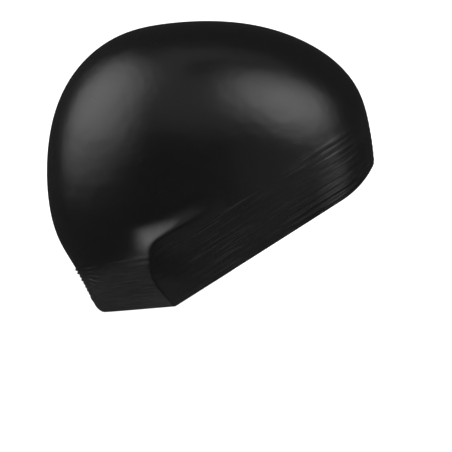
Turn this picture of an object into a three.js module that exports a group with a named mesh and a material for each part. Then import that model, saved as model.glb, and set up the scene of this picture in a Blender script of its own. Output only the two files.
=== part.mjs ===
import * as THREE from 'three';

// Swim cap of moulded rubber in its worn shape, stretched over the crown and the ears.
// Millimetres, +Z up, +X to the forehead, the same on both sides of the XZ plane.
// The origin is the middle of the opening, level with the lowest part of the edge.

// Driving sizes
const capLength = 200;        // forehead to back, outside
const capBreadth = 156;       // side to side above the ears, outside
const crownRise = 87.5;       // from the widest level up to the crown
const edgeDepth = 90;         // from the widest level down to the lowest part of the edge
const wall = 1.0;             // thickness of the rubber
const eggShare = 0.08;        // how much narrower the forehead is than the middle

const ribCount = 9;
const ribPitch = 3.76;        // from rib to rib, along the forehead and the temples
const ribHeight = 0.3;
const ribCrest = 1.5;         // width of a rib's flat top
const edgeStrip = 3.0;        // from the edge to the middle of the lowest rib
const napePitchShare = 0.92;  // the ribs lie closer behind the ears, where the cap is stretched less
const backPitchShare = 0.83;  // and closer still at the back

const earHeight = 9.2;        // how far the bulge stands out at the corner of its crease
const earLowGain = 0.35;      // how much further it stands out for each step below that corner
const earLowReach = 18;       // how far down that goes on
const earCornerRound = 7;     // how far the corners of the crease's outline are rounded off
const earCreaseRound = 1.9;   // how much the crease is rounded over
const earRearSlope = 21;      // width of the slope that rises to the crease's corner from behind
const earRearWidening = 1.1;  // how much wider it gets for each step below the corner
const earTopSlope = 13;       // width of the slope that rises to the crease from above
const earFrontSlope = 60;     // length of the slope from the crease forward
const earSteepening = 2.25;   // power by which the slope behind the crease steepens towards it

// Reach of the cap from its centre, as a share of an ellipsoid with the sizes above, at the
// back, the side and the front. Down is the angle from the crown, in equal steps of degrees.
const profiles = [
  { down: 0, back: 1.0, side: 1.0, front: 1.0 },
  { down: 15, back: 1.018, side: 1.012, front: 1.007 },
  { down: 30, back: 1.056, side: 1.035, front: 1.025 },
  { down: 45, back: 1.061, side: 1.05, front: 1.043 },
  { down: 60, back: 1.038, side: 1.045, front: 1.037 },
  { down: 75, back: 1.01, side: 1.02, front: 1.001 },
  { down: 90, back: 1.001, side: 1.0, front: 0.994 },
  { down: 105, back: 1.024, side: 1.01, front: 1.01 },
  { down: 120, back: 1.066, side: 1.06, front: 1.05 },
  { down: 135, back: 1.119, side: 1.15, front: 1.12 },
  { down: 150, back: 1.28, side: 1.3, front: 1.25 },
];

// Points of the edge and of the crease over the ear, seen from the side.
// Along is a share of the half length, forward of the middle, and up is a share of edgeDepth.
const sidePoints = {
  tip: { along: -0.21, up: 0.051 },         // lowest point of the front edge, below the ear
  bowStart: { along: 0.79, up: 0.752 },     // where the straight front edge starts to curve up
  forehead: { along: 1.0, up: 1.013 },      // middle of the front edge, only its height is used
  napeCorner: { along: -0.64, up: 0.002 },  // where the nape edge starts to lift
  nape: { along: -0.73, up: 0.09 },         // middle of the nape edge
  creaseLow: { along: -0.364, up: 0.242 },  // where the crease turns from leaning back to upright
  creaseHigh: { along: -0.376, up: 0.461 }, // where it turns forward
  earTop: { along: 0.238, up: 0.87 },       // a point further up along it, where it has faded out
};

const halfLength = capLength / 2;
const halfBreadth = capBreadth / 2;
const halfTurn = Math.PI;
const radians = THREE.MathUtils.degToRad;
const lastDown = radians(profiles[profiles.length - 1].down);

// The row before the crown is the next one with front and back exchanged, so that the curve
// of every column passes over the crown without a kink.
const overCrown = { back: profiles[1].front, side: profiles[1].side, front: profiles[1].back };
const profileCurve = new THREE.CatmullRomCurve3(
  [overCrown, ...profiles].map((row) => new THREE.Vector3(row.back, row.side, row.front)),
  false, 'catmullrom', 0.5,
);

function sidePoint(name) {
  const { along, up } = sidePoints[name];
  return new THREE.Vector2(along * halfLength, up * edgeDepth);
}

// A point of the plain crown, without the bulge: down is the angle from the top and round the
// angle about the vertical, 0 at the forehead and half a turn at the nape.
function plainPoint(down, round) {
  const rows = profiles.length;
  const reach = profileCurve.getPoint((down / lastDown * (rows - 1) + 1) / rows);
  const c = Math.cos(round);
  const share = reach.z * c * (1 + c) / 2 + reach.y * (1 - c * c) + reach.x * c * (c - 1) / 2;
  const x = halfLength * share * Math.sin(down) * c;
  const y = halfBreadth * share * Math.sin(down) * Math.sin(round);
  const z = edgeDepth + crownRise * share * Math.cos(down);
  return new THREE.Vector3(x, y * (1 - eggShare * x / halfLength), z);
}

// The value between low and high where a test that holds at low stops holding.
const bisectSteps = 40;

function bisect(test, low, high) {
  for (let step = 0; step < bisectSteps; step += 1) {
    const middle = (low + high) / 2;
    if (test(middle)) low = middle;
    else high = middle;
  }
  return (low + high) / 2;
}

const creaseLow = sidePoint('creaseLow');
const creaseHigh = sidePoint('creaseHigh');

// The front edge in side view: a straight line from the tip, then an arc up to the forehead.
const tip = sidePoint('tip');
const bowStart = sidePoint('bowStart');
const foreheadLevel = sidePoint('forehead').y;
const foreheadDown = bisect((down) => plainPoint(down, 0).z > foreheadLevel, 0, lastDown);
const forehead = new THREE.Vector2(plainPoint(foreheadDown, 0).x, foreheadLevel);
const frontLine = bowStart.clone().sub(tip).normalize();
const frontUp = new THREE.Vector2(-frontLine.y, frontLine.x);
const bowChord = forehead.clone().sub(bowStart);
const bowRadius = bowChord.lengthSq() / (2 * bowChord.dot(frontUp));
const bowCentre = bowStart.clone().addScaledVector(frontUp, bowRadius);

// The ribs keep one height above it all the way, so they run as the edge does in side view.
function distanceToFrontEdge(point) {
  const pastCentre = Math.min(point.x, forehead.x) - bowCentre.x;
  const straight = tip.y + (point.x - tip.x) * frontLine.y / frontLine.x;
  const bow = bowCentre.y - Math.sqrt(Math.max(bowRadius ** 2 - pastCentre ** 2, 0));
  return (point.y - (point.x < bowStart.x ? straight : bow)) * frontLine.x;
}

// The nape edge in side view: nearly level, and lifted towards its middle, where the ribs are
// squeezed together under the highest one.
const napeCorner = sidePoint('napeCorner');
const nape = sidePoint('nape');
const napeLine = tip.clone().sub(napeCorner).normalize();
const napeUp = new THREE.Vector2(-napeLine.y, napeLine.x);
const highestRib = edgeStrip + (ribCount - 1) * ribPitch;

function distanceToNapeEdge(point) {
  const behind = THREE.MathUtils.clamp((napeCorner.x - point.x) / (napeCorner.x - nape.x), 0, 1);
  const lift = (nape.y - napeCorner.y) * behind ** 2;
  const toBack = THREE.MathUtils.smoothstep(-point.x, -creaseHigh.x, -nape.x);
  const pitchShare = THREE.MathUtils.lerp(napePitchShare, backPitchShare, toBack);
  return (point.clone().sub(tip).dot(napeUp) - lift) / (pitchShare - lift / highestRib);
}

function distanceToEdge(point) {
  return Math.min(distanceToFrontEdge(point), distanceToNapeEdge(point));
}

// The crease over the ear, in side view, is three straight lines with round corners between
// them: it leans back from the tip, stands upright behind the ear and runs forward above it.
const earTop = sidePoint('earTop');

// How far a point lies outside of the line from one point to another, on its left.
function outsideLine(point, from, to) {
  return to.clone().sub(from).normalize().cross(point.clone().sub(from));
}

// The larger of two values, or a little more where they are nearly the same.
function roundedMax(a, b, round) {
  const near = Math.max(0, round - Math.abs(a - b)) / round;
  return Math.max(a, b) + round * near * near / 4;
}

function outsideBackOfCrease(point) {
  const low = outsideLine(point, tip, creaseLow);
  const upright = outsideLine(point, creaseLow, creaseHigh);
  return roundedMax(low, upright, earCornerRound);
}

const fadeFrom = -0.19;   // shares of the crease's top line between which it fades
const fadeTo = 0.87;
const behindFrom = -18;   // how far a point lies behind the crease rather than above it
const behindTo = 9;
const earLowEase = 6;     // how gently the gain below the corner starts and ends
const frontEase = 0.5;    // share of the front slope over which it flattens out

// How far the bulge over the ear stands out from the plain crown at a point in side view.
function earLift(point) {
  const back = outsideBackOfCrease(point);
  const top = outsideLine(point, creaseHigh, earTop);
  const outside = roundedMax(back, top, earCornerRound);

  const topLine = earTop.clone().sub(creaseHigh);
  const alongTop = point.clone().sub(creaseHigh).dot(topLine) / topLine.lengthSq();
  const started = roundedMax(creaseHigh.y - point.y, 0, earLowEase);
  const below = -roundedMax(-started, -earLowReach, earLowEase);
  const fade = THREE.MathUtils.smoothstep(alongTop, fadeFrom, fadeTo);
  const height = earHeight * (1 - fade) + earLowGain * below;
  const behindShare = THREE.MathUtils.smoothstep(back - top, behindFrom, behindTo);
  const rearSlope = earRearSlope + earRearWidening * below;
  const slope = THREE.MathUtils.lerp(earTopSlope, rearSlope, behindShare);

  const rise = Math.max(0, 1 - outside / slope);
  const beyond = 1 - earSteepening * outside / slope;
  const rear = height * (outside > 0 ? rise ** earSteepening : beyond);
  const frontShare = 1 + Math.min(outside, 0) / earFrontSlope;
  const inner = height * roundedMax(frontShare, 0, frontEase);
  return Math.max(0, -roundedMax(-rear, -inner, earCreaseRound));
}

function capPoint(down, round) {
  const point = plainPoint(down, round);
  const lift = earLift(new THREE.Vector2(point.x, point.z));
  point.y += Math.sign(point.y) * lift;
  return point;
}

// The direction straight out of the cap, from two short steps across its face.
function outward(down, round) {
  const step = 0.002;
  const alongDown = capPoint(down + step, round).sub(capPoint(down - step, round));
  const alongRound = capPoint(down, round + step).sub(capPoint(down, round - step));
  return alongDown.cross(alongRound).normalize();
}

// The angle from the crown at which a column reaches a distance from the edge.
function downAt(distance, round) {
  const above = (down) => {
    const point = plainPoint(down, round);
    return distanceToEdge(new THREE.Vector2(point.x, point.z)) > distance;
  };
  return bisect(above, 0, lastDown);
}

// Columns round the cap, closer together over the ears, with one that starts at each tip.
const tipRound = bisect((round) => plainPoint(downAt(0, round), round).x > tip.x, 0, halfTurn);
const earStart = tipRound - radians(38);
const earEnd = tipRound + radians(28);

function columnAngles() {
  const spans = [
    { from: 0, to: earStart, columns: 9 },
    { from: earStart, to: tipRound, columns: 13 },
    { from: tipRound, to: earEnd, columns: 11 },
    { from: earEnd, to: halfTurn, columns: 7 },
  ];
  const half = spans.flatMap(({ from, to, columns }) => Array.from({ length: columns },
    (_, i) => from + (to - from) * i / columns));
  const mirrored = half.slice(1).reverse().map((angle) => -angle);
  return [...half, halfTurn, ...mirrored];
}

// The columns over the ear lean back as the crease does, so that one follows it from the tip.
const leanSpan = radians(60);
const mostLean = radians(40);

function creaseLean(distance) {
  const ahead = (round) => {
    const point = plainPoint(downAt(distance, round), round);
    return outsideBackOfCrease(new THREE.Vector2(point.x, point.z)) < 0;
  };
  return bisect(ahead, tipRound, tipRound + mostLean) - tipRound;
}

function leaningRound(angle, lean) {
  const reach = Math.abs(Math.abs(angle) - tipRound) / leanSpan;
  return angle + Math.sign(angle) * lean * (1 - THREE.MathUtils.smoothstep(reach, 0, 1));
}

// Rows of the ribbed band, from the edge up: a groove, then the two sides of each flat crest.
// The inner face is smooth and has a row at the edge and under every second groove.
function bandRows() {
  const rows = [{ distance: 0, lift: 0, inner: true }];
  for (let rib = 0; rib < ribCount; rib += 1) {
    const middle = edgeStrip + rib * ribPitch;
    rows.push({ distance: middle - ribPitch / 2, lift: 0, inner: rib % 2 === 0 });
    rows.push({ distance: middle - ribCrest / 2, lift: ribHeight });
    rows.push({ distance: middle + ribCrest / 2, lift: ribHeight });
  }
  rows.push({ distance: edgeStrip + (ribCount - 0.5) * ribPitch, lift: 0, inner: true });
  return rows;
}

// Rows of the smooth crown, from the band up, wider apart towards the top.
const crownRows = 19;
const evenShare = 0.45;  // how much of the spacing is even, the rest widens steadily

function crownShares() {
  const rows = Array.from({ length: crownRows - 1 }, (_, i) => (i + 1) / crownRows);
  return rows.map((share) => 1 - evenShare * share - (1 - evenShare) * share * share);
}

function capGeometry() {
  const positions = [];
  const indices = [];
  const angles = columnAngles();
  const band = bandRows();
  const bandTop = band[band.length - 1].distance;

  function addPoint(point) {
    positions.push(point.x, point.y, point.z);
    return positions.length / 3 - 1;
  }

  // One ring of points, at a distance from the edge, or at a share of the way from the crown
  // down to there, and lifted off the cap's plain outer face.
  function addRing({ distance, share = 1, lift }) {
    const lean = creaseLean(distance);
    return angles.map((angle) => {
      const round = leaningRound(angle, lean);
      const down = downAt(distance, round) * share;
      return addPoint(capPoint(down, round).addScaledVector(outward(down, round), lift));
    });
  }

  function joinRings(lower, upper) {
    lower.forEach((corner, i) => {
      const next = (i + 1) % lower.length;
      indices.push(corner, lower[next], upper[next], corner, upper[next], upper[i]);
    });
  }

  function closeRing(ring, pole, outside) {
    ring.forEach((corner, i) => {
      const next = ring[(i + 1) % ring.length];
      indices.push(...(outside ? [corner, next, pole] : [next, corner, pole]));
    });
  }

  const crownRings = crownShares().map((share) => ({ distance: bandTop, share, lift: 0 }));
  const crown = plainPoint(0, 0);

  const outer = [...band, ...crownRings].map(addRing);
  outer.slice(1).forEach((ring, i) => joinRings(outer[i], ring));
  closeRing(outer[outer.length - 1], addPoint(crown), true);

  const inner = [...band.filter((row) => row.inner), ...crownRings]
    .map((ring) => addRing({ ...ring, lift: -wall }));
  inner.slice(1).forEach((ring, i) => joinRings(ring, inner[i]));
  closeRing(inner[inner.length - 1], addPoint(crown.setZ(crown.z - wall)), false);

  joinRings(inner[0], outer[0]);

  const geometry = new THREE.BufferGeometry();
  geometry.setAttribute('position', new THREE.Float32BufferAttribute(positions, 3));
  geometry.setIndex(indices);
  geometry.computeVertexNormals();
  return geometry;
}

const rubber = new THREE.MeshStandardMaterial({ color: 0x1b1b1c, roughness: 0.45, metalness: 0 });

const cap = new THREE.Mesh(capGeometry(), rubber);
cap.name = 'cap_shell';

const group = new THREE.Group();
group.add(cap);

export default group;
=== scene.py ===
import math

import bmesh
import bpy
import numpy as np
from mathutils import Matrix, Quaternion, Vector


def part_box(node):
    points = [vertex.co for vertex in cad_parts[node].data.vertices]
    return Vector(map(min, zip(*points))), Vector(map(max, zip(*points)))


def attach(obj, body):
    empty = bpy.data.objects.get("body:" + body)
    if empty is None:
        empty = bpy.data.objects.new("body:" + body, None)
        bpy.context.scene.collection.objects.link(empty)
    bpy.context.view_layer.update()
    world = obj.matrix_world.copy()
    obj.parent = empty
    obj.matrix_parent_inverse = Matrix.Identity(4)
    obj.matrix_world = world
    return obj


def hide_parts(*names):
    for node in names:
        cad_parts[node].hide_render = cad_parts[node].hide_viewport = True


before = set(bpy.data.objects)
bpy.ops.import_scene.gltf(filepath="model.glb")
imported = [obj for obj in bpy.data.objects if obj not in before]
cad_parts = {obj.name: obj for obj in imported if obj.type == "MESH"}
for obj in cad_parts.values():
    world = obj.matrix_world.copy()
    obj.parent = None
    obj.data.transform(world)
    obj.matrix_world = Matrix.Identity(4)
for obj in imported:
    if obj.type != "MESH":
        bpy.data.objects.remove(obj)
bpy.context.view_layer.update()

# The cap is one piece of rubber, moulded on a form and peeled off it, about a millimetre thick.
# Nine small ribs run round its edge. It is in its worn shape, stretched tight and smooth over
# the crown, and drawn to a sharp crease along the back of each ear pocket.
widest_level = 0.090
half_length = 0.100
half_breadth = 0.078
crown_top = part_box("cap_shell")[1].z
crown_rise = crown_top - widest_level
egg_share = 0.08
wall = 0.0010

# The pointed tip of the edge lies at this angle from the front.
tip_turn = math.radians(105.7)

# The half widths of a rib's crest and foot are shares of the pitch. The ribs are higher or
# lower by their turn from the front, in degrees, wax and wane along their length, most of all
# at the back, and change from the lowest rib of the band to the highest.
rib_count = 9
rib_pitch = 0.00376
rib_crest = 0.17
rib_foot = 0.37
rib_heights = [
    {"turn": 0, "height": 0.00014},
    {"turn": 45, "height": 0.00020},
    {"turn": 60, "height": 0.00007},
    {"turn": 106, "height": 0.00003},
    {"turn": 112, "height": 0.00003},
    {"turn": 140, "height": 0.00008},
    {"turn": 155, "height": 0.00040},
    {"turn": 180, "height": 0.00045},
]
rib_waves = [
    {"waves": 17, "shift": 2.4, "power": 1},
    {"waves": 41, "shift": 4.1, "power": 2},
]
front_unrest = 0.15
back_unrest = 0.60
unrest_blend = 0.2
front_fullness = {"lowest": 1.15, "highest": 0.30}
back_fullness = {"lowest": 0.60, "highest": 1.40}

# The lowest rib's middle is this far from the edge, and at the back the ribs lie closer.
edge_strip = 0.0030
nape_pitch_share = 0.92
back_pitch_share = 0.83
highest_rib = edge_strip + (rib_count - 1) * rib_pitch
band_height = edge_strip + (rib_count - 0.5) * rib_pitch

# Each ear pocket bulges by this height, and by more towards the tip. It slopes away behind,
# above and in front, and its slopes run into one another in rounded corners.
ear_height = 0.0092
ear_low_gain = 0.35
ear_low_reach = 0.018
ear_low_blend = 0.006
ear_corner_round = 0.007
ear_crease_round = 0.0019
ear_rear_slope = 0.021
ear_rear_widening = 1.1
ear_top_slope = 0.013
ear_front_slope = 0.060
ear_steepening = 2.25
ear_front_ease = 0.5
ear_fade = (-0.19, 0.87)
ear_rear_blend = (-0.018, 0.009)

# The form's reach at the back, side and front, a row for each step down from the top, as a
# share of a plain ellipsoid's.
profile_step = math.radians(15)
profiles = [
    {"back": 1.0, "side": 1.0, "front": 1.0},
    {"back": 1.018, "side": 1.012, "front": 1.007},
    {"back": 1.056, "side": 1.035, "front": 1.025},
    {"back": 1.061, "side": 1.05, "front": 1.043},
    {"back": 1.038, "side": 1.045, "front": 1.037},
    {"back": 1.01, "side": 1.02, "front": 1.001},
    {"back": 1.001, "side": 1.0, "front": 0.994},
    {"back": 1.024, "side": 1.01, "front": 1.01},
    {"back": 1.066, "side": 1.06, "front": 1.05},
    {"back": 1.119, "side": 1.15, "front": 1.12},
    {"back": 1.28, "side": 1.3, "front": 1.25},
]
last_down = profile_step * (len(profiles) - 1)
halvings = 40
tiny_share = 1e-6


def smoothstep(value, start, end):
    share = np.clip((value - start) / (end - start), 0.0, 1.0)
    return share * share * (3 - 2 * share)


def spline_bends(values):
    """How much a smooth curve through evenly spaced values bends at each: its second
    derivative."""
    count = len(values)
    matrix = np.eye(count)
    right = np.zeros(count)
    for i in range(1, count - 1):
        matrix[i, i - 1:i + 2] = (1, 4, 1)
        right[i] = 6 * (values[i - 1] - 2 * values[i] + values[i + 1])
    return np.linalg.solve(matrix, right)


# The rows after the top one also stand before it, with front and back exchanged, so that the
# form passes over the top without a kink.
over_crown = {"back": "front", "side": "side", "front": "back"}
rows_before = 2
reach_rows = {}
for side, opposite in over_crown.items():
    before = [profiles[row][opposite] for row in range(rows_before, 0, -1)]
    reach_rows[side] = np.array(before + [row[side] for row in profiles])
reach_bends = {side: spline_bends(values) for side, values in reach_rows.items()}


def reach(side, down):
    values, bends = reach_rows[side], reach_bends[side]
    place = np.clip(down / profile_step + rows_before, 0, len(values) - 1 - tiny_share)
    row = place.astype(int)
    b = place - row
    a = 1 - b
    curve = ((a ** 3 - a) * bends[row] + (b ** 3 - b) * bends[row + 1]) / 6
    return a * values[row] + b * values[row + 1] + curve


def plain_point(down, turn):
    """The crown without the bulges: down is the angle from the top, turn the one from +X."""
    c = np.cos(turn)
    share = (reach("front", down) * c * (1 + c) / 2 + reach("side", down) * (1 - c * c)
             + reach("back", down) * c * (c - 1) / 2)
    x = half_length * share * np.sin(down) * c
    y = half_breadth * share * np.sin(down) * np.sin(turn)
    z = widest_level + crown_rise * share * np.cos(down)
    return x, y * (1 - egg_share * x / half_length), z


# Points of the edge and of the crease, in side view: shares of the half length forward of the
# middle, and of the height of the widest level.
side_points = {
    "tip": (-0.21, 0.051),
    "bow_start": (0.79, 0.752),
    "forehead": (0.998, 1.013),
    "nape_corner": (-0.64, 0.002),
    "nape": (-0.73, 0.09),
    "crease_low": (-0.364, 0.242),
    "crease_high": (-0.376, 0.461),
    "ear_top": (0.238, 0.87),
}


def side_point(name):
    along, up = side_points[name]
    return Vector((along * half_length, up * widest_level))


def across(line):
    return Vector((-line.y, line.x))


def steps_from(point, x, z, line):
    """How far a place in side view lies along a line's direction from a point."""
    return (x - point.x) * line.x + (z - point.y) * line.y


tip, bow_start, forehead = side_point("tip"), side_point("bow_start"), side_point("forehead")
crease_low, crease_high = side_point("crease_low"), side_point("crease_high")
ear_top = side_point("ear_top")
front_line = (bow_start - tip).normalized()
bow_chord = forehead - bow_start
bow_radius = bow_chord.length_squared / (2 * bow_chord.dot(across(front_line)))
bow_centre = bow_start + across(front_line) * bow_radius
nape_corner, nape = side_point("nape_corner"), side_point("nape")
nape_line = (tip - nape_corner).normalized()


def distance_to_edge(x, z):
    """Ahead of the tip the ribs keep their height above the edge, and at the back the highest
    one stays level where the edge is lifted."""
    straight = tip.y + (x - tip.x) * front_line.y / front_line.x
    past_centre = np.minimum(x, forehead.x) - bow_centre.x
    bow = bow_centre.y - np.sqrt(np.maximum(bow_radius ** 2 - past_centre ** 2, 0))
    front = (z - np.where(x < bow_start.x, straight, bow)) * front_line.x

    behind = np.clip((nape_corner.x - x) / (nape_corner.x - nape.x), 0, 1)
    lift = (nape.y - nape_corner.y) * behind ** 2
    to_back = smoothstep(-x, -crease_high.x, -nape.x)
    pitch_share = nape_pitch_share + (back_pitch_share - nape_pitch_share) * to_back
    height = steps_from(tip, x, z, across(nape_line)) - lift
    return np.minimum(front, height / (pitch_share - lift / highest_rib))


def down_at(distance, turn):
    """The angle from the top at which a column is a distance from the edge, by halving."""
    low = np.zeros(np.broadcast(distance, turn).shape)
    high = np.full_like(low, last_down)
    for _ in range(halvings):
        middle = (low + high) / 2
        x, _y, z = plain_point(middle, turn)
        above = distance_to_edge(x, z) > distance
        low = np.where(above, middle, low)
        high = np.where(above, high, middle)
    return (low + high) / 2


def rounded_max(a, b, corner):
    """The larger of two values, or a little more where they are nearly the same."""
    near = np.maximum(0, corner - np.abs(a - b)) / corner
    return np.maximum(a, b) + corner * near * near / 4


def outside_line(x, z, start, end):
    return steps_from(start, x, z, across((end - start).normalized()))


def outside_back_of_crease(x, z):
    low = outside_line(x, z, tip, crease_low)
    upright = outside_line(x, z, crease_low, crease_high)
    return rounded_max(low, upright, ear_corner_round)


def ear_lift(x, z):
    """How far the ear pocket bulges out from the plain crown. Below the crease's upper corner it
    stands out further and slopes away more gently."""
    back = outside_back_of_crease(x, z)
    top = outside_line(x, z, crease_high, ear_top)
    outside = rounded_max(back, top, ear_corner_round)

    below = rounded_max(crease_high.y - z, 0.0, ear_low_blend)
    below = -rounded_max(-below, -ear_low_reach, ear_low_blend)
    top_line = ear_top - crease_high
    along_top = steps_from(crease_high, x, z, top_line) / top_line.length_squared
    height = ear_height * (1 - smoothstep(along_top, *ear_fade)) + ear_low_gain * below
    behind = smoothstep(back - top, *ear_rear_blend)
    rear_slope = ear_rear_slope + ear_rear_widening * below
    slope = ear_top_slope + (rear_slope - ear_top_slope) * behind

    rise = np.maximum(0, 1 - outside / slope) ** ear_steepening
    rear = height * np.where(outside > 0, rise, 1 - ear_steepening * outside / slope)
    front_share = 1 + np.minimum(outside, 0) / ear_front_slope
    inner = height * rounded_max(front_share, 0.0, ear_front_ease)
    return np.maximum(0, -rounded_max(-rear, -inner, ear_crease_round))


def cap_point(down, turn):
    x, y, z = plain_point(down, turn)
    return np.stack([x, y + np.sign(y) * ear_lift(x, z), z], axis=-1)


# Slopes are taken over this angle to either side.
slope_step = 0.0015


def outward(down, turn):
    along_down = cap_point(down + slope_step, turn) - cap_point(down - slope_step, turn)
    along_turn = cap_point(down, turn + slope_step) - cap_point(down, turn - slope_step)
    normal = np.cross(along_down, along_turn)
    return normal / np.linalg.norm(normal, axis=-1, keepdims=True)


def rib_share(distance):
    """1 on a rib's crest and 0 in the groove beside it."""
    place = (distance - edge_strip) / rib_pitch
    rib = np.clip(np.round(place), 0, rib_count - 1)
    return 1 - smoothstep(np.abs(place - rib), rib_crest, rib_foot)


def fullness_of(fullness, upward):
    return fullness["lowest"] + (fullness["highest"] - fullness["lowest"]) * upward


def rib_height(distance, turn):
    """The ribs are stretched nearly flat at the sides, less at the front and least at the back.
    The higher ones are flatter in front and fuller behind."""
    around = np.abs(turn)
    height = np.interp(np.degrees(around), [row["turn"] for row in rib_heights],
                       [row["height"] for row in rib_heights])
    rib = np.clip(np.round((distance - edge_strip) / rib_pitch), 0, rib_count - 1)
    to_back = smoothstep(around, tip_turn, tip_turn + unrest_blend)
    unrest = front_unrest + (back_unrest - front_unrest) * to_back
    waves = sum(np.sin(row["waves"] * around + row["shift"] * rib ** row["power"])
                for row in rib_waves) / len(rib_waves)
    upward = rib / (rib_count - 1)
    fullness = np.where(around < tip_turn, fullness_of(front_fullness, upward),
                        fullness_of(back_fullness, upward))
    return height * fullness * (1 + unrest * waves)


# Columns are closer together over the ear pockets, and lean back there along the crease. On
# each side they are counted from the front round to the back, with their turns in radians.
most_lean = math.radians(40)
lean_span = math.radians(60)
columns = 440
column_turns = [
    {"column": 0, "turn": 0.0},
    {"column": 60, "turn": tip_turn - math.radians(36)},
    {"column": 128, "turn": tip_turn},
    {"column": 184, "turn": tip_turn + math.radians(28)},
    {"column": columns / 2, "turn": math.pi},
]


def column_turn(column):
    """The angle of a column from the front."""
    return np.interp(column, [row["column"] for row in column_turns],
                     [row["turn"] for row in column_turns])


def crease_lean(distance):
    """How far behind the tip the crease lies at a distance from the edge, by halving."""
    low = np.full(len(distance), tip_turn)
    high = low + most_lean
    for _ in range(halvings):
        middle = (low + high) / 2
        x, _y, z = plain_point(down_at(distance, middle), middle)
        ahead = outside_back_of_crease(x, z) < 0
        low = np.where(ahead, middle, low)
        high = np.where(ahead, high, middle)
    return (low + high) / 2 - tip_turn


# Rows follow each rib's groove, flanks and crest in the band, and spread out over the crown.
rib_flank = (rib_crest + rib_foot) / 2
rib_places = (-0.5, -rib_foot, -rib_flank, -rib_crest, 0.0, rib_crest, rib_flank, rib_foot)
edge_rows = [0.0, 0.00012, 0.0004, 0.0008]
band_rows = edge_rows + [edge_strip + (rib + place) * rib_pitch
                         for rib in range(rib_count) for place in rib_places] + [band_height]
crown_rows = 84
inner_edge_rows = [0.0, 0.00012, 0.0004]
inner_plain_start = 0.002
inner_plain_rows = 10
inner_band_rows = inner_edge_rows + list(np.linspace(inner_plain_start, band_height,
                                                     inner_plain_rows))
inner_crown_rows = 27
even_share = 0.45

# At the very top the angle down isn't quite zero, so that each column keeps its direction. The
# turns are rounded, so that the column right at the front lies on neither side.
least_down = 1e-5
turn_digits = 6


def shell(name, band, crown_count, depth, ribbed):
    """A sphere of rings and columns, moved ring by ring onto the cap's outer or inner face."""
    ring_count = crown_count + len(band)
    bpy.ops.object.select_all(action="DESELECT")
    bpy.ops.mesh.primitive_uv_sphere_add(segments=columns, ring_count=ring_count, radius=1)
    face = bpy.context.object
    face.name = name
    bpy.ops.object.mode_set(mode="EDIT")
    bpy.ops.mesh.select_all(action="DESELECT")
    mesh = bmesh.from_edit_mesh(face.data)
    min(mesh.verts, key=lambda vert: vert.co.z).select = True
    mesh.select_flush(True)
    bpy.ops.mesh.delete(type="VERT")
    bpy.ops.object.mode_set(mode="OBJECT")

    count = len(face.data.vertices)
    places = np.empty(count * 3)
    face.data.vertices.foreach_get("co", places)
    places = places.reshape(-1, 3)
    ring = np.round(np.arccos(np.clip(places[:, 2], -1, 1)) / math.pi * ring_count).astype(int)
    around = np.arctan2(places[:, 1], places[:, 0])
    side = np.sign(np.round(around, turn_digits))
    column = np.round(np.abs(around) / math.pi * columns / 2)

    ring_distance = np.array([band_height] * crown_count + band[::-1])
    crown_share = np.minimum(np.arange(ring_count) / crown_count, 1)
    crown_share = even_share * crown_share + (1 - even_share) * (1 - (1 - crown_share) ** 2)
    distance = ring_distance[ring]
    reach_out = np.abs(column_turn(column) - tip_turn) / lean_span
    lean = crease_lean(ring_distance)[ring] * (1 - smoothstep(reach_out, 0, 1))
    turn = side * (column_turn(column) + lean)
    down = np.maximum(down_at(distance, turn) * crown_share[ring], least_down)

    lift = -depth(distance)
    if ribbed:
        in_band = ring >= crown_count
        ribs = rib_height(distance, turn) * rib_share(distance)
        lift = lift + np.where(in_band, ribs, 0)
    moved = cap_point(down, turn) + outward(down, turn) * lift[:, None]
    moved[ring == 0] = (0, 0, crown_top + lift[ring == 0][0])
    face.data.vertices.foreach_set("co", moved.ravel())
    from_edge = face.data.attributes.new("from_edge", "FLOAT", "POINT")
    from_edge.data.foreach_set("value", distance_to_edge(moved[:, 0], moved[:, 2]))
    behind_crease = face.data.attributes.new("behind_crease", "FLOAT", "POINT")
    behind_crease.data.foreach_set("value", outside_back_of_crease(moved[:, 0], moved[:, 2]))
    face.data.update()
    return face


def edge_rounding(distance):
    """How far the rounded edge is set back from the outer face."""
    inside = np.clip(1 - distance / (wall / 2), 0, 1)
    return wall / 2 * (1 - np.sqrt(1 - inside ** 2))


# The outer and the inner face are joined where they meet along the rounded edge.
merge_distance = 0.00002
cap = shell("swim_cap", band_rows, crown_rows, edge_rounding, True)
shell("inner_face", inner_band_rows, inner_crown_rows,
      lambda distance: wall - edge_rounding(distance), False)
bpy.ops.object.mode_set(mode="EDIT")
bpy.ops.mesh.select_all(action="SELECT")
bpy.ops.mesh.flip_normals()
bpy.ops.object.mode_set(mode="OBJECT")

cap.select_set(True)
bpy.context.view_layer.objects.active = cap
bpy.ops.object.join()
bpy.ops.object.mode_set(mode="EDIT")
bpy.ops.mesh.select_mode(type="EDGE")
bpy.ops.mesh.select_all(action="DESELECT")
bpy.ops.mesh.select_non_manifold()
bpy.ops.mesh.remove_doubles(threshold=merge_distance)
bpy.ops.mesh.select_all(action="DESELECT")
bpy.ops.object.mode_set(mode="OBJECT")
bpy.ops.object.shade_smooth()


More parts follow.
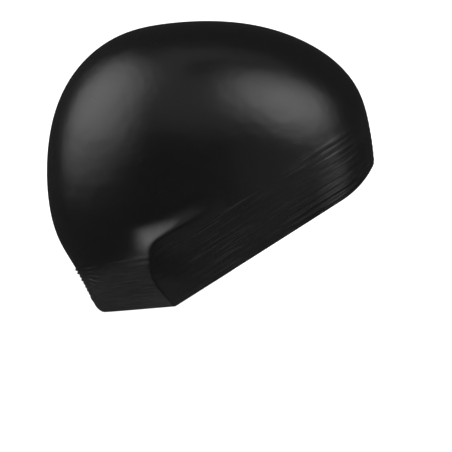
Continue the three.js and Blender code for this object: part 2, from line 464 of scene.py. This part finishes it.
class Socket:
    """An output of a node in a tree, with arithmetic. Without an output it starts the tree."""

    def __init__(self, tree, socket=None):
        self.tree = tree
        self.socket = socket

    def node(self, kind, settings=None, output=0, **inputs):
        made = self.tree.nodes.new(kind)
        for key, value in (settings or {}).items():
            setattr(made, key, value)
        for key, value in inputs.items():
            slot = made.inputs[int(key[1:]) if key[0] == "_" else key.replace("_", " ")]
            if isinstance(value, Socket):
                self.tree.links.new(value.socket, slot)
            else:
                slot.default_value = value
        return Socket(self.tree, made.outputs[output])

    def maths(self, operation, first, second):
        return self.node("ShaderNodeMath", {"operation": operation}, _0=first, _1=second)

    def __add__(self, other):
        return self.maths("ADD", self, other)

    def __radd__(self, other):
        return self.maths("ADD", other, self)

    def __sub__(self, other):
        return self.maths("SUBTRACT", self, other)

    def __rsub__(self, other):
        return self.maths("SUBTRACT", other, self)

    def __mul__(self, other):
        return self.maths("MULTIPLY", self, other)

    def __rmul__(self, other):
        return self.maths("MULTIPLY", other, self)


rubber = bpy.data.materials.new("black_rubber")
rubber.use_nodes = True
tree = rubber.node_tree
surface = tree.nodes["Principled BSDF"]
position = Socket(tree).node("ShaderNodeTexCoord", output="Object")
smooth = {"interpolation_type": "SMOOTHSTEP"}


def noise(scale, detail, sharpness, vector=position):
    return position.node("ShaderNodeTexNoise", Vector=vector, Scale=scale, Detail=detail,
                         Roughness=sharpness)


def ramp(value, start, end):
    return position.node("ShaderNodeMapRange", smooth, Value=value, From_Min=start, From_Max=end)


def blend(share, first, second):
    return position.node("ShaderNodeMix", {"data_type": "RGBA"}, output=2, _0=share, _6=first,
                         _7=second)


# The band is marked with fine lines along it. Behind the crease its colour is painted lighter,
# as powder and painted sheen, most of all near the edge, with a painted highlight close to the
# crease's foot.
from_edge = position.node("ShaderNodeAttribute", {"attribute_name": "from_edge"}, output="Fac")
behind_crease = position.node("ShaderNodeAttribute", {"attribute_name": "behind_crease"},
                              output="Fac")
forward = position.node("ShaderNodeSeparateXYZ", output=0, Vector=position)
sideways = position.node("ShaderNodeSeparateXYZ", output=1, Vector=position)

lines_across = 1050.0
lines_along = 45.0
drawn_out = position.node("ShaderNodeCombineXYZ", X=from_edge * lines_across,
                          Y=forward * lines_along, Z=sideways * lines_along)
lines = noise(scale=1.0, detail=2.0, sharpness=0.5, vector=drawn_out)
grain = noise(scale=1400.0, detail=3.0, sharpness=0.6)
mottle = noise(scale=160.0, detail=4.0, sharpness=0.65)
cloud = noise(scale=45.0, detail=2.0, sharpness=0.5)

band_fade = 0.003
# Painted sheen with powder on the band behind the crease fades out above the band.
powder_and_sheen_fade = (band_height + 0.002, band_height - 0.013)
foot_height = 0.014
foot_reach = 0.030
crease_blend = (-0.0003, 0.0012)
in_band = ramp(from_edge, band_height + band_fade, band_height - band_fade)
past_crease = ramp(behind_crease, *crease_blend)
# Masks for the painted sheen with powder behind the crease, and for the painted highlight at the
# crease's foot.
powder_and_sheen_band = past_crease * ramp(from_edge, *powder_and_sheen_fade)
crease_foot_sheen = ramp(from_edge, foot_height, 0.0) * ramp(behind_crease, foot_reach, 0.0)

black = (0.0068, 0.0068, 0.0070, 1.0)
dusted = (0.0096, 0.0096, 0.0099, 1.0)
scuffed = (0.0165, 0.0165, 0.0169, 1.0)
# The lighter grey of the painted sheen and powder behind the crease.
powder_and_sheen_grey = (0.0300, 0.0300, 0.0306, 1.0)
mottle_share = 0.7
# Shares of the painted sheen with powder: all over the band behind the crease, on the lines, and
# as a painted highlight at the crease's foot.
powder_and_sheen_all_over = 0.35
powder_and_sheen_on_lines = 0.5
painted_sheen_at_foot = 0.6
powder_and_sheen_lines = (0.2, 0.8)
scuffed_lines = (0.48, 0.66)
scuffed_patches = (0.32, 0.58)
dust = mottle * mottle_share + grain * (1 - mottle_share)
scuffs = in_band * ramp(lines, *scuffed_lines) * ramp(cloud, *scuffed_patches)
# Painted sheen behind the crease, with powdery streaks along the lines and a painted highlight
# at the crease's foot.
powder_and_sheen = powder_and_sheen_band * (powder_and_sheen_all_over + powder_and_sheen_on_lines * ramp(lines, *powder_and_sheen_lines)
                        + painted_sheen_at_foot * crease_foot_sheen)
colour = blend(powder_and_sheen, blend(scuffs, blend(dust, black, dusted), scuffed), powder_and_sheen_grey)
tree.links.new(colour.socket, surface.inputs["Base Color"])

polished = 0.22
duller = 0.04
roughness = polished + duller * mottle + duller * cloud
tree.links.new(roughness.socket, surface.inputs["Roughness"])
refraction = 1.5
surface.inputs["IOR"].default_value = refraction

# Depths of the relief, in metres.
cloud_depth = 0.0005
mottle_depth = 0.00009
grain_depth = 0.00004
line_depth = 0.00013
relief = (cloud * cloud_depth + mottle * mottle_depth + grain * grain_depth
          + lines * in_band * line_depth)
bump = position.node("ShaderNodeBump", Strength=1.0, Distance=1.0, Height=relief)
tree.links.new(bump.socket, surface.inputs["Normal"])
cap.data.materials.append(rubber)

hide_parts("cap_shell")
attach(cap, "root")


# The camera looks level at the cap's right-hand side, from below its middle and with a long
# lens.
view_width = 0.2757
view_centre = Vector((0.0091, 0.0, 0.0525))
camera_distance = 2.5
sensor_width_mm = 36.0
farthest_seen = 100.0
looking_level = math.radians(90)

bpy.ops.object.select_all(action="DESELECT")
bpy.ops.object.camera_add(location=view_centre - Vector((0.0, camera_distance, 0.0)),
                          rotation=(looking_level, 0.0, 0.0))
camera = bpy.context.object
camera.name = "camera"
camera.data.sensor_width = sensor_width_mm
camera.data.lens = sensor_width_mm * camera_distance / view_width
camera.data.clip_end = farthest_seen
bpy.context.scene.camera = camera


# The floor is a plain white sheet, well below the cap. It isn't mirrored in the rubber, as the
# soft boxes are.
floor_level = -0.30
floor_size = 60
floor_white = (0.94, 0.94, 0.94, 1.0)
matt = 0.9
bpy.ops.object.select_all(action="DESELECT")
bpy.ops.mesh.primitive_plane_add(size=floor_size)
bpy.ops.transform.translate(value=(0, 0, floor_level))
bpy.ops.object.transform_apply(location=True)
floor = bpy.context.object
floor.name = "floor"
floor.visible_glossy = False
pale = bpy.data.materials.new("white_floor")
pale.use_nodes = True
pale_surface = pale.node_tree.nodes["Principled BSDF"]
pale_surface.inputs["Base Color"].default_value = floor_white
pale_surface.inputs["Roughness"].default_value = matt
floor.data.materials.append(pale)


# Large soft boxes stand round the cap: each is a card that glows, less towards its sides. A
# card stands at a bearing from the camera's side, turning to the right, some way away and up
# from the middle of the cap. It leans back, and rolls in its own plane. Soft holds the share of
# the card over which it fades at its left, right, foot and top.
cap_middle = Vector((0.0, 0.0, widest_level))
soft_boxes = [
    {"name": "left_box", "bearing": -79, "away": 0.85, "up": 0.71, "lean": 15, "roll": 6,
     "size": (2.07, 1.97), "glow": 2.35, "soft": (0.45, 0.5, 0.35, 0.52)},
    {"name": "right_box", "bearing": 55, "away": 1.02, "up": 0.54, "lean": 53, "roll": -43,
     "size": (2.12, 1.27), "glow": 2.9, "soft": (0.45, 0.42, 0.42, 0.45)},
    {"name": "top_box", "bearing": 6, "away": 0.74, "up": 0.99, "lean": 52, "roll": -12,
     "size": (2.5, 3.0), "glow": 0.34, "soft": (0.31, 0.25, 0.28, 0.26)},
    {"name": "low_box", "bearing": 20, "away": 0.7, "up": -0.9, "lean": -45, "roll": 0,
     "size": (2.6, 2.2), "glow": 0.24, "soft": (0.4, 0.4, 0.4, 0.4)},
    {"name": "front_box", "bearing": 42, "away": 1.29, "up": -0.22, "lean": 5, "roll": 3,
     "size": (2.2, 1.0), "glow": 0.19, "soft": (0.36, 0.38, 0.4, 0.41)},
    {"name": "temple_box", "bearing": 83, "away": 1.1, "up": -0.15, "lean": 0, "roll": 0,
     "size": (0.7, 0.26), "glow": 2.0, "soft": (0.5, 0.5, 0.5, 0.5)},
]
black_card = (0.0, 0.0, 0.0, 1.0)


def soft_box(name, bearing, away, up, lean, roll, size, glow, soft):
    turn, tilt = math.radians(bearing), math.radians(lean)
    towards = Vector((math.sin(turn), -math.cos(turn), 0.0))
    bpy.ops.object.select_all(action="DESELECT")
    bpy.ops.mesh.primitive_plane_add(size=1)
    card = bpy.context.object
    card.name = name
    card.scale = (size[0], size[1], 1)
    facing = (towards * math.cos(tilt) + Vector((0, 0, math.sin(tilt)))).to_track_quat("Z", "Y")
    card.rotation_euler = (facing @ Quaternion((0, 0, 1), math.radians(roll))).to_euler()
    card.location = cap_middle + towards * away + Vector((0, 0, up))
    bpy.ops.object.transform_apply(location=True, rotation=True, scale=True)
    card.visible_camera = False

    glowing = bpy.data.materials.new(name + "_glow")
    glowing.use_nodes = True
    tree = glowing.node_tree
    sheet = tree.nodes["Principled BSDF"]
    spot = Socket(tree).node("ShaderNodeTexCoord", output="UV")
    across_card = spot.node("ShaderNodeSeparateXYZ", output=0, Vector=spot)
    up_card = spot.node("ShaderNodeSeparateXYZ", output=1, Vector=spot)
    brightness = 1.0
    for way, inset in zip((across_card, 1 - across_card, up_card, 1 - up_card), soft):
        fading = spot.node("ShaderNodeMapRange", smooth, Value=way, From_Max=inset)
        brightness = brightness * fading
    shade = spot.node("ShaderNodeCombineColor", Red=brightness, Green=brightness,
                      Blue=brightness)
    tree.links.new(shade.socket, sheet.inputs["Emission Color"])
    sheet.inputs["Emission Strength"].default_value = glow
    sheet.inputs["Base Color"].default_value = black_card
    sheet.inputs["Roughness"].default_value = 1.0
    card.data.materials.append(glowing)


for box in soft_boxes:
    soft_box(**box)

# The room is white, for the camera and for the light that it throws on the cap, but the rubber
# mirrors it almost black.
white = (1.0, 1.0, 1.0, 1.0)
room_brightness = 1.4
mirrored_brightness = 0.03
world = bpy.data.worlds.new("white_room")
bpy.context.scene.world = world
world.use_nodes = True
room = Socket(world.node_tree)
seen = room.node("ShaderNodeBackground", Color=white, Strength=room_brightness)
mirrored = room.node("ShaderNodeBackground", Color=white, Strength=mirrored_brightness)
glossy = room.node("ShaderNodeLightPath", output="Is Glossy Ray")
mixed = room.node("ShaderNodeMixShader", _0=glossy, _1=seen, _2=mirrored)
world.node_tree.links.new(mixed.socket, world.node_tree.nodes["World Output"].inputs["Surface"])
bpy.context.scene.view_settings.view_transform = "Standard"
